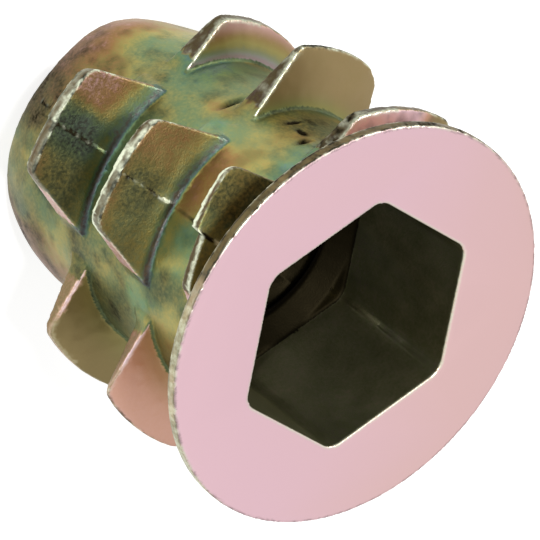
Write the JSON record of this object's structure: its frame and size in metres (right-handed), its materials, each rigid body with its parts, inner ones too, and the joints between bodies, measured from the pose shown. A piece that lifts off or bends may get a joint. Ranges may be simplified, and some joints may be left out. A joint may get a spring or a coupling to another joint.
{
  "type": "threaded insert",
  "caption": "Flanged die-cast insert nut for wood: a coarse outer thread broken into fins, a hexagon drive socket and a threaded through bore.",
  "frame": {"origin": "centre of the tail end face, on the part's own axis", "axes": "+Z along the bore axis from the tail end to the flange face; the front row of fins faces -Y, on the die's parting plane X = 0"},
  "size_m": [0.0146, 0.0146, 0.014],
  "materials": {
    "chromated_zinc": "yellow chromate over die-cast zinc, iridescent, satin to glossy"
  },
  "bodies": {
    "root": {"insert_nut": "chromated_zinc"}
  },
  "joints": []
}
